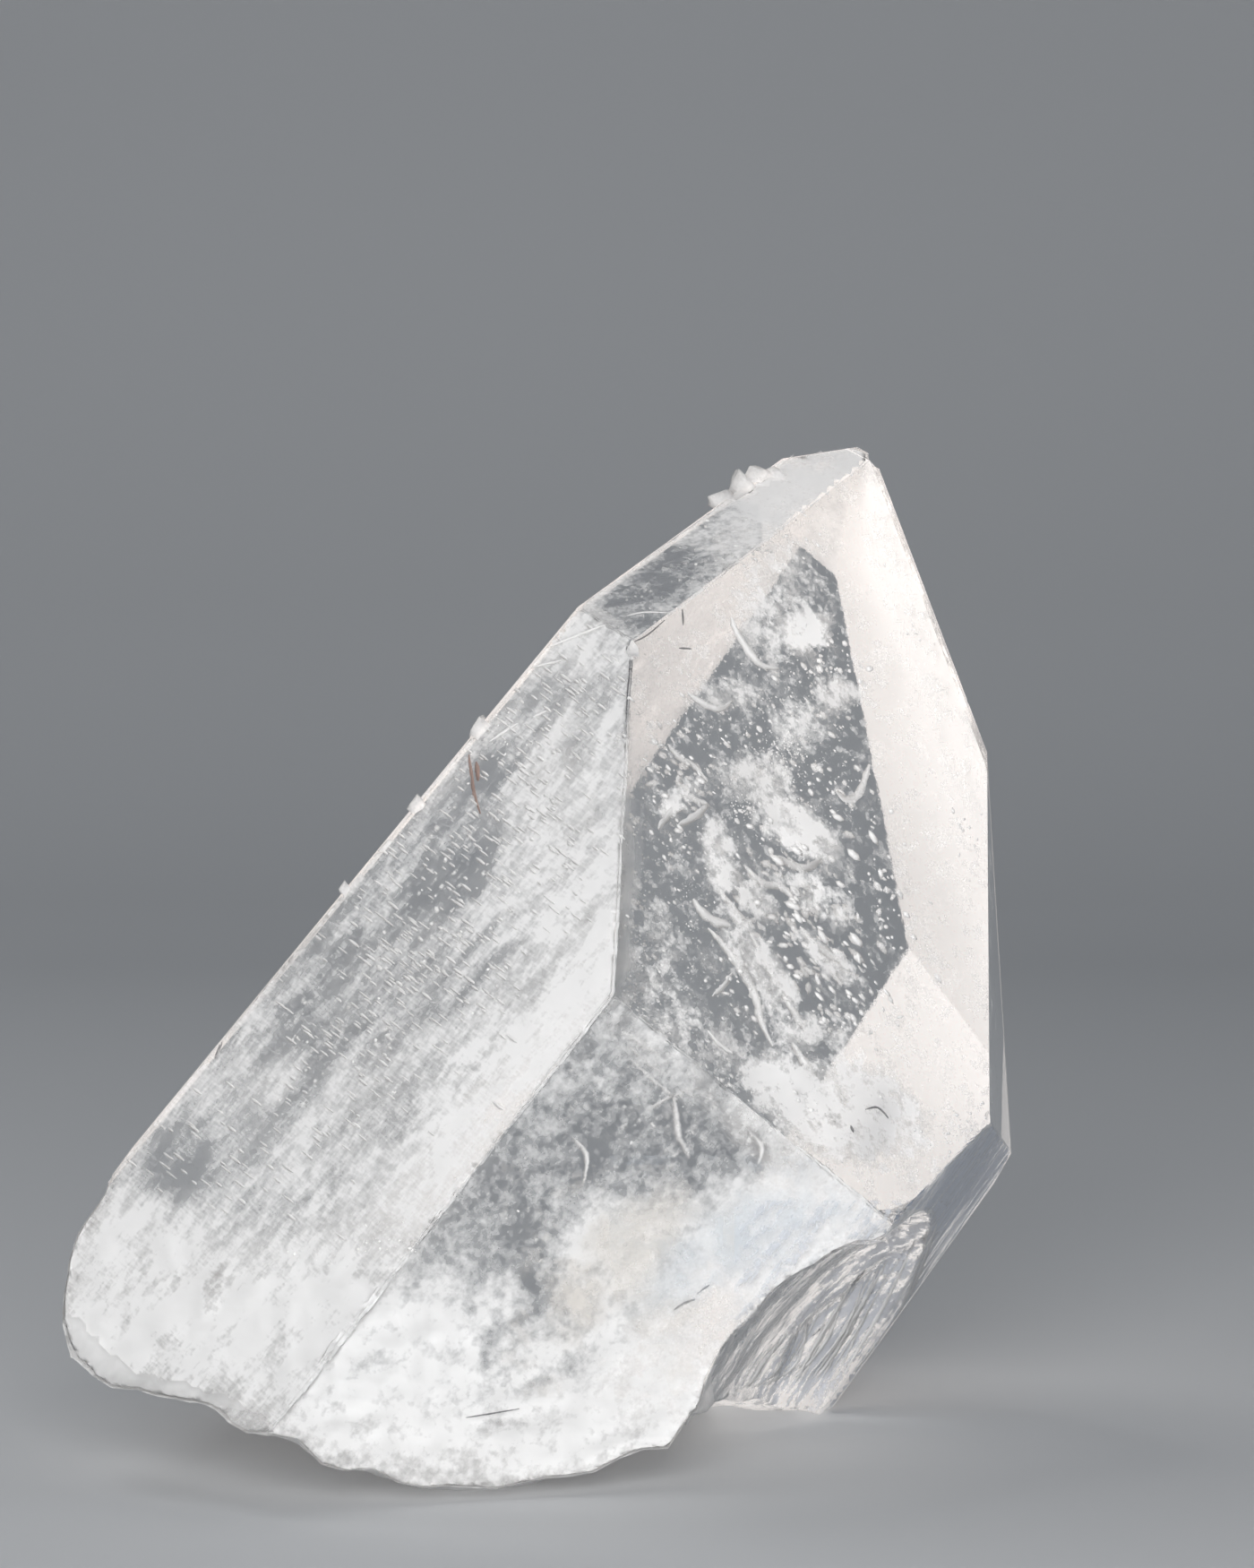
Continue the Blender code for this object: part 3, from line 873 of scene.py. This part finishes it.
class QUARTZ_OT_back_skins(bpy.types.Operator):
    """Make the milky skins under the hidden faces, which shine through the front"""

    bl_idname = "quartz.back_skins"
    bl_label = "Back skins"

    def execute(self, context):
        warm = tuple(context.scene.quartz_veils.warm_colour)
        soft = {"Grain": 3.0, "Low": 0.25, "High": 0.65, "Seed": 9.0}
        streaks = {"Grain": 1.8, "Across": 0.8, "Along": 3.0}
        streaks |= {"Low": 0.35, "High": 0.65, "Seed": 10.0}
        dots = {"Grain": 0.7, "Low": 0.36, "High": 0.64, "Seed": 12.0}
        thick = ((0.25, soft), (0.10, streaks))
        thin = ((0.50, soft), (0.35, streaks), (0.25, dots))
        clouds = {"Grain": 7.0, "Along": 1.4, "Low": 0.36, "High": 0.62, "Seed": 13.0}
        fine = {"Grain": 0.5, "Low": 0.34, "High": 0.66, "Seed": 15.0}
        patchy = ((0.70, clouds), (0.40, streaks), (0.40, dots), (0.25, fine))
        # The skins shine with painted light of their own, and the outer veils with 2.2 times as
        # much.
        painted_glow = context.scene.quartz_veils.painted_glow
        materials = {
            "milky skin": finishes().haze("milky skin", thick, 1.0, 0.97, warm, painted_glow),
            "streaked skin": finishes().haze("streaked skin", thin, 1.2, 0.9, warm, painted_glow),
            "outer veil": finishes().haze("outer veil", patchy, 1.5, 0.85, warm, painted_glow * 2.2),
        }
        for name, direction, depth, strength, finish in BACK_SKINS:
            back_skin(name, Vector(direction), depth, strength, materials[finish])
        return {"FINISHED"}


# Mist that is painted behind one front face. Each spot is a soft oval in photograph pixels:
# column, row, half width, half height, turn in degrees anticlockwise, strength.
LEFT_MIST = (
    (640, 900, 70, 230, 0, 0.80),
    (600, 1150, 70, 190, -35, 0.80),
    (480, 860, 34, 90, -40, 0.50),
    (563, 850, 16, 60, -40, 0.20),
    (600, 790, 26, 60, -40, 0.35),
    (655, 800, 20, 60, -20, 0.30),
    (540, 940, 22, 60, -40, 0.60),
    (500, 985, 30, 80, -40, 0.20),
    (455, 1060, 26, 60, -40, 0.35),
    (345, 1165, 40, 80, -38, 0.12),
    (400, 1090, 26, 70, -40, 0.30),
    (300, 1215, 20, 50, -40, 0.60),
    (205, 1300, 42, 50, -38, 0.08),
    (270, 1270, 30, 50, -38, 0.35),
    (430, 1200, 30, 60, -40, 0.45),
    (500, 1330, 90, 70, 0, 0.80),
    (160, 1450, 110, 100, 0, 0.93),
    (350, 1480, 150, 100, 0, 0.98),
    (235, 1440, 10, 30, -20, 0.60),
    (130, 1380, 26, 8, 10, 0.78),
    (190, 1500, 26, 9, -20, 0.78),
    (300, 1420, 34, 8, 15, 0.80),
    (420, 1425, 30, 7, -10, 0.60),
    (470, 1405, 8, 24, 20, 0.50),
)
# The first added spot clears the deep mist along the edge with the great face. There only the near
# sheet's thin strip of mist shows, and it stands in for the edge's highlight: partly real mist,
# partly painted highlight.
LEFT_DEEP_MIST = (*LEFT_MIST, (712, 900, 40, 260, 0, 0.0), (592, 1230, 34, 190, -39, 0.0))
FRONT_MIST = (
    (620, 1260, 120, 120, 0, 0.34),
    (540, 1350, 40, 60, 20, 0.30),
    (700, 1290, 70, 50, 0, 0.16),
    (600, 1410, 36, 50, 0, 0.24),
    (780, 1270, 60, 30, -40, 0.20),
    (840, 1280, 50, 14, -45, 0.10),
    (700, 1420, 75, 90, -30, 0.90),
    (850, 1385, 120, 66, 10, 0.90),
    (440, 1530, 150, 110, 0, 0.98),
    (650, 1580, 170, 90, 0, 0.90),
    (950, 1320, 60, 36, 0, 0.92),
    (560, 1480, 30, 60, 0, 0.80),
    (785, 1450, 22, 14, 30, 0.40),
    (522, 1440, 8, 30, 10, 0.40),
    (548, 1500, 8, 28, -20, 0.42),
    (585, 1470, 20, 7, 20, 0.40),
    (596, 1545, 22, 7, 30, 0.45),
    (560, 1590, 30, 6, 5, 0.45),
    (640, 1520, 12, 22, -30, 0.50),
    (690, 1600, 30, 7, 15, 0.72),
)
GREAT_MIST = (
    (875, 680, 50, 75, 0, 0.42),
    (897, 702, 26, 18, 0, 0.95),
    (850, 870, 40, 30, 0, 0.62),
    (890, 925, 50, 24, -35, 0.90),
    (935, 775, 26, 18, 0, 0.75),
    (900, 810, 34, 26, 0, 0.45),
    (812, 775, 36, 16, 0, 0.50),
    (760, 890, 30, 16, 40, 0.55),
    (805, 950, 18, 50, 10, 0.62),
    (840, 1000, 34, 16, -35, 0.62),
    (850, 1080, 22, 70, 32, 0.60),
    (910, 1000, 50, 18, -35, 0.50),
    (925, 1070, 40, 12, -38, 0.60),
    (905, 1150, 50, 16, 0, 0.55),
    (720, 1060, 36, 90, 0, 0.26),
    (780, 1160, 60, 36, -30, 0.34),
    (890, 1228, 74, 34, -38, 0.95),
    (960, 1240, 70, 50, -30, 0.86),
)
UPPER_LEFT_MIST = (
    (745, 640, 46, 20, 40, 0.22),
    (700, 665, 30, 16, 40, 0.30),
    (720, 690, 30, 8, 10, 0.20),
    (830, 600, 40, 12, 35, 0.85),
    (800, 622, 26, 6, 10, 0.30),
    (860, 570, 50, 26, 35, 0.80),
    (900, 535, 80, 30, 10, 0.94),
)
LOWER_MIST = ((1080, 1320, 20, 90, -38, 0.95),)
HOLLOW_MIST = (
    (975, 1440, 40, 100, -36, 0.78),
    (900, 1520, 30, 60, -45, 0.62),
    (930, 1440, 16, 60, -40, 0.50),
)
CREAM_PATCH = (
    (700, 1400, 40, 90, -42, 0.70),
    (650, 1460, 26, 46, -30, 0.60),
    (740, 1470, 40, 16, 20, 0.45),
)
COOL_PATCH = (
    (815, 1390, 90, 34, 25, 0.70),
    (890, 1350, 50, 18, 0, 0.60),
    (760, 1440, 50, 20, 35, 0.55),
)

# Parts of the photograph that hold a face: first and last column, first and last row.
LEFT_PART = (60, 730), (600, 1640)
GREAT_PART = (670, 1110), (500, 1400)
HOLLOW_PART = (820, 1060), (1340, 1590)
LOWER_PART = (820, 1140), (1230, 1590)
UPPER_PART = (630, 980), (500, 740)
COOL_PART = (680, 980), (1290, 1500)
CREAM_PART = (560, 820), (1300, 1560)
FRONT_PART = (280, 1000), (1080, 1680)

# Sheets of mist: name, direction of the face, columns and rows, depth, lumps, base strength,
# spots, finish.
MIST_SHEETS = (
    ("left_mist_near", LEFT_FACE, LEFT_PART, 0.5, 1.0, 0.52, LEFT_MIST, "left face grain"),
    ("left_mist_deep", LEFT_FACE, LEFT_PART, 4.0, 0.5, 0.25, LEFT_DEEP_MIST, "soft mist"),
    ("front_mist_near", FRONT_FACE, FRONT_PART, 0.7, 1.2, 0.40, FRONT_MIST, "fine mist"),
    ("cream_patch", FRONT_FACE, CREAM_PART, 0.35, 0.0, 0.0, CREAM_PATCH, "cream mist"),
    ("cool_patch", FRONT_FACE, COOL_PART, 0.35, 0.0, 0.0, COOL_PATCH, "cool mist"),
    ("great_mist_near", GREAT_FACE, GREAT_PART, 5.0, 0.0, 0.0, GREAT_MIST, "torn mist"),
    ("great_mist_deep", GREAT_FACE, GREAT_PART, 12.0, 0.0, 0.0, GREAT_MIST, "torn mist far"),
    ("upper_left_mist", UPPER_LEFT_FACE, UPPER_PART, 0.6, 0.0, 0.55, UPPER_LEFT_MIST, "upper mist"),
    ("lower_right_mist", LOWER_RIGHT_FACE, LOWER_PART, 0.4, 0.0, 0.72, LOWER_MIST, "drawn mist"),
    ("hollow_mist", None, HOLLOW_PART, 0.35, 0.0, 0.0, HOLLOW_MIST, "feathered mist"),
)
# Cell of a mist sheet and step of the search for its face, in pixels of the photograph.
MIST_STEP = 7.0
MIST_SEARCH = 1.5
MIST_TRIES = 14
# The nearest that a mist sheet comes to the surface, in millimetres.
MIST_MARGIN = 0.12
# A sheet's depth wavers by this share, over waves of this many pixels.
WAVER = 0.35
WAVER_PIXELS = 90.0
# Where the mist is stronger than this, its sheet swells in billows of these sizes in pixels.
BILLOW_FROM = 0.7
BILLOW_OVER = 0.3
BILLOW_RISE = 0.75
BILLOW_PIXELS = 34.0
SMALL_BILLOW_PIXELS = 15.0


def spot_weight(column, row, spot):
    """How much a soft oval covers a pixel, from 0 to 1."""
    middle_column, middle_row, half_width, half_height, turn, _ = spot
    turn = math.radians(turn)
    across = column - middle_column
    upward = middle_row - row
    own_across = across * math.cos(turn) + upward * math.sin(turn)
    own_upward = upward * math.cos(turn) - across * math.sin(turn)
    distance = math.hypot(own_across / half_width, own_upward / half_height)
    weight = min(max((1.45 - distance) / 0.9, 0.0), 1.0)
    return weight * weight * (3.0 - 2.0 * weight)


def near_pixel(column, row, depth, normal, centre):
    """The place behind a pixel, or behind the first one towards the centre that is on the face."""
    pixel = Vector((column, row))
    step = (centre - pixel).normalized() * MIST_SEARCH
    for _ in range(MIST_TRIES):
        place = seen_at(pixel.x, pixel.y, depth, normal)
        if place is not None:
            if SURFACE.depth(place) > MIST_MARGIN * MM:
                return place
            place = seen_at(pixel.x, pixel.y, MIST_MARGIN * 2.0, normal)
            if SURFACE.depth(place) > MIST_MARGIN * MM:
                return place
        pixel += step
    return None


def slow_noise(column, row, pixels, seed):
    """Smooth noise over the photograph, with waves of a size in pixels."""
    return noise.noise(Vector((column / pixels, row / pixels, seed)))


def mist_sheet(name, direction, part, depth, lumps, base, spots, material, seed):
    """A sheet of mist at a depth behind one face, as the photograph shows it."""
    columns, rows = part
    normal = SURFACE.growth_face(direction)[0] if direction else None
    width = columns[1] - columns[0]
    height = rows[1] - rows[0]
    bm = bmesh.new()
    cells = int(width / MIST_STEP), int(height / MIST_STEP)
    bmesh.ops.create_grid(bm, x_segments=cells[0], y_segments=cells[1], size=0.5)
    layer = bm.verts.layers.float.new("strength")
    missed = []
    centre = Vector(((columns[0] + columns[1]) / 2.0, (rows[0] + rows[1]) / 2.0))
    for vert in bm.verts:
        column = columns[0] + (vert.co.x + 0.5) * width
        row = rows[0] + (vert.co.y + 0.5) * height
        strength = base
        for spot in spots:
            strength += (spot[-1] - strength) * spot_weight(column, row, spot)
        wave = 1.0 + WAVER * slow_noise(column, row, WAVER_PIXELS, seed)
        lumpy = lumps * max(0.0, strength - BILLOW_FROM) / BILLOW_OVER
        billow = abs(slow_noise(column, row, BILLOW_PIXELS, seed))
        billow += 0.5 * abs(slow_noise(column, row, SMALL_BILLOW_PIXELS, seed))
        own_depth = depth * wave + lumpy * (BILLOW_RISE - billow)
        place = near_pixel(column, row, own_depth, normal, centre)
        if place is None:
            missed.append(vert)
            continue
        vert.co = place
        vert[layer] = strength
    bmesh.ops.delete(bm, geom=missed, context="VERTS")
    bmesh.ops.recalc_face_normals(bm, faces=bm.faces)
    return finished_piece(bm, name, material, smooth=True)


# Colours of the two patches in the foot.
CREAM_COLOUR = (0.80, 0.75, 0.69)
COOL_COLOUR = (0.70, 0.75, 0.80)


class QUARTZ_OT_mist(bpy.types.Operator):
    """Make the mist behind the front faces"""

    bl_idname = "quartz.mist"
    bl_label = "Mist"

    def execute(self, context):
        finish = finishes()
        veils = context.scene.quartz_veils
        dashes = {"Grain": 0.45, "Across": 2.2, "Along": 0.5}
        dashes |= {"Low": 0.40, "High": 0.66, "Seed": 1.0}
        bars = {"Grain": 1.4, "Across": 0.8, "Along": 2.4, "Low": 0.36, "High": 0.64, "Seed": 2.0}
        cloudy = {"Grain": 6.0, "Along": 1.3, "Low": 0.35, "High": 0.65, "Seed": 3.0}
        fine = {"Grain": 0.6, "Low": 0.30, "High": 0.70, "Seed": 6.0}
        torn = {"Grain": 1.4, "Low": 0.36, "High": 0.64, "Seed": 4.0}
        torn_far = {"Grain": 2.8, "Low": 0.32, "High": 0.68, "Seed": 14.0}
        small = {"Grain": 0.5, "Low": 0.32, "High": 0.68, "Seed": 5.0}
        drawn = {"Grain": 1.0, "Across": 0.6, "Along": 7.0, "Low": 0.40, "High": 0.60, "Seed": 7.0}
        left = ((0.22, dashes), (0.42, bars), (0.40, cloudy), (0.25, fine))
        cool = tuple(veils.cool_colour)
        near = tuple(veils.near_colour)
        pale = tuple(0.5 * (first + second) for first, second in zip(cool, near))
        # Finishes: name, masks, hardness, greatest cover, colour.
        looks = (
            ("left face grain", left, 1.3, 0.9, near),
            ("soft mist", ((0.3, cloudy),), 1.0, 0.8, near),
            ("fine mist", ((0.25, cloudy), (0.35, fine), (0.4, torn)), 1.2, 0.95, near),
            ("torn mist", ((0.8, torn), (0.4, small)), 1.6, 0.85),
            ("torn mist far", ((0.7, torn_far), (0.4, small)), 1.2, 0.75),
            ("upper mist", ((0.5, torn_far), (0.4, small)), 1.5, 0.9, near),
            ("drawn mist", ((0.9, drawn), (0.3, fine)), 1.8, 0.92, cool),
            ("feathered mist", ((0.9, drawn), (0.4, fine)), 1.6, 0.85, pale),
            ("cream mist", ((0.8, torn_far), (0.4, fine)), 1.0, 0.45, CREAM_COLOUR),
            ("cool mist", ((0.8, torn_far), (0.4, fine)), 1.0, 0.45, COOL_COLOUR),
        )
        materials = {look[0]: finish.haze(*look) for look in looks}
        for seed, (*place, spots, look) in enumerate(MIST_SHEETS):
            mist_sheet(*place, spots, materials[look], seed)
        return {"FINISHED"}


def stage_material(name, colour):
    """Plain matt paper."""
    material, _, shader = new_material(name)
    shader.inputs["Base Color"].default_value = (*colour, 1.0)
    shader.inputs["Roughness"].default_value = 0.85
    return material


def soft_light(name, place, target, size, power):
    """A large square light that points at a place."""
    data = bpy.data.lights.new(name, "AREA")
    data.shape = "SQUARE"
    data.size = size
    data.energy = power
    lamp = bpy.data.objects.new(name, data)
    bpy.context.scene.collection.objects.link(lamp)
    lamp.location = place
    aim = Vector(target) - Vector(place)
    lamp.rotation_euler = aim.to_track_quat("-Z", "Y").to_euler()
    lamp.visible_transmission = False
    return lamp


# The floor runs back, turns up in a round cove and goes on as a wall, in metres.
FLOOR_HALF_WIDTH = 2.5
FLOOR_RUN = 3.6
FLOOR_FRONT = -1.6
COVE_START = 0.62
COVE_RADIUS = 0.22

# Places and sizes of the lights and the place that they are turned to, in metres.
KEY_PLACE = (-0.02, -0.60, 0.20)
KEY_SIZE = 0.36
TOP_PLACE = (-0.30, 0.25, 0.60)
TOP_SIZE = 0.30
LIT_PLACE = (0.0, 0.0, 0.04)
SKY_COLOUR = (0.80, 0.86, 0.95, 1.0)


class QUARTZ_OT_stage(bpy.types.Operator):
    """Make the floor, the lights and the camera"""

    bl_idname = "quartz.stage"
    bl_label = "Stage"

    def execute(self, context):
        settings = context.scene.quartz_stage
        bm = bmesh.new()
        bmesh.ops.create_grid(bm, x_segments=1, y_segments=24, size=1.0)
        for vert in bm.verts:
            vert.co.x *= FLOOR_HALF_WIDTH
            along = (vert.co.y + 1.0) / 2.0
            run = along * FLOOR_RUN + FLOOR_FRONT
            if run < COVE_START:
                vert.co.y = run
                vert.co.z = 0.0
            else:
                turn = min((run - COVE_START) / COVE_RADIUS, math.pi / 2.0)
                rest = max(0.0, run - COVE_START - COVE_RADIUS * math.pi / 2.0)
                vert.co.y = COVE_START + COVE_RADIUS * math.sin(turn)
                vert.co.z = COVE_RADIUS * (1.0 - math.cos(turn)) + rest
        mesh = bpy.data.meshes.new("floor")
        bm.to_mesh(mesh)
        bm.free()
        for polygon in mesh.polygons:
            polygon.use_smooth = True
        mesh.materials.append(stage_material("pale floor", settings.floor_colour))
        floor = bpy.data.objects.new("floor", mesh)
        context.scene.collection.objects.link(floor)
        soft_light("key light", KEY_PLACE, LIT_PLACE, KEY_SIZE, settings.key_power)
        soft_light("top light", TOP_PLACE, LIT_PLACE, TOP_SIZE, settings.top_power)
        world = bpy.data.worlds.new("even light")
        world.use_nodes = True
        background = world.node_tree.nodes["Background"]
        background.inputs["Color"].default_value = SKY_COLOUR
        background.inputs["Strength"].default_value = settings.ambient
        context.scene.world = world
        self.place_camera(context)
        return {"FINISHED"}

    def place_camera(self, context):
        """The camera stands where the photograph was taken from."""
        data = bpy.data.cameras.new("photograph")
        data.sensor_fit = "HORIZONTAL"
        data.sensor_width = SENSOR_WIDTH
        data.lens = SENSOR_WIDTH * FOCAL_PIXELS / IMAGE_WIDTH
        data.clip_start = 0.01
        camera = bpy.data.objects.new("photograph", data)
        context.scene.collection.objects.link(camera)
        camera.location = CAMERA_PLACE * MM
        camera.rotation_euler = camera_turn().to_euler()
        context.scene.camera = camera


class QUARTZ_PT_panel(bpy.types.Panel):
    """Panel in the sidebar."""

    bl_idname = "QUARTZ_PT_panel"
    bl_label = "Quartz crystal"
    bl_space_type = "VIEW_3D"
    bl_region_type = "UI"
    bl_category = "Quartz"

    def draw(self, context):
        layout = self.layout
        for operator in OPERATORS:
            layout.operator(operator.bl_idname)


OPERATORS = (
    QUARTZ_OT_clear_body,
    QUARTZ_OT_flecks,
    QUARTZ_OT_strokes,
    QUARTZ_OT_back_skins,
    QUARTZ_OT_mist,
    QUARTZ_OT_stage,
)
SETTINGS = {
    "quartz_glass": QuartzGlassSettings,
    "quartz_veils": QuartzVeilSettings,
    "quartz_stage": QuartzStageSettings,
}


def register():
    """Register the classes and keep the settings on the scene."""
    for kind in (*SETTINGS.values(), *OPERATORS, QUARTZ_PT_panel):
        bpy.utils.register_class(kind)
    for name, kind in SETTINGS.items():
        setattr(bpy.types.Scene, name, PointerProperty(type=kind))


def unregister():
    """Take away what register added."""
    for name in SETTINGS:
        delattr(bpy.types.Scene, name)
    for kind in reversed((*SETTINGS.values(), *OPERATORS, QUARTZ_PT_panel)):
        bpy.utils.unregister_class(kind)


def light_paths(scene):
    """Let light pass through many faces of the crystal."""
    scene.cycles.use_denoising = True
    scene.cycles.max_bounces = 20
    scene.cycles.transmission_bounces = 20
    scene.cycles.transparent_max_bounces = 24
    scene.view_settings.view_transform = "Standard"


def main():
    """Build everything, in order."""
    register()
    light_paths(bpy.context.scene)
    for operator in OPERATORS:
        group, name = operator.bl_idname.split(".")
        getattr(getattr(bpy.ops, group), name)()


if __name__ == "__main__":
    main()
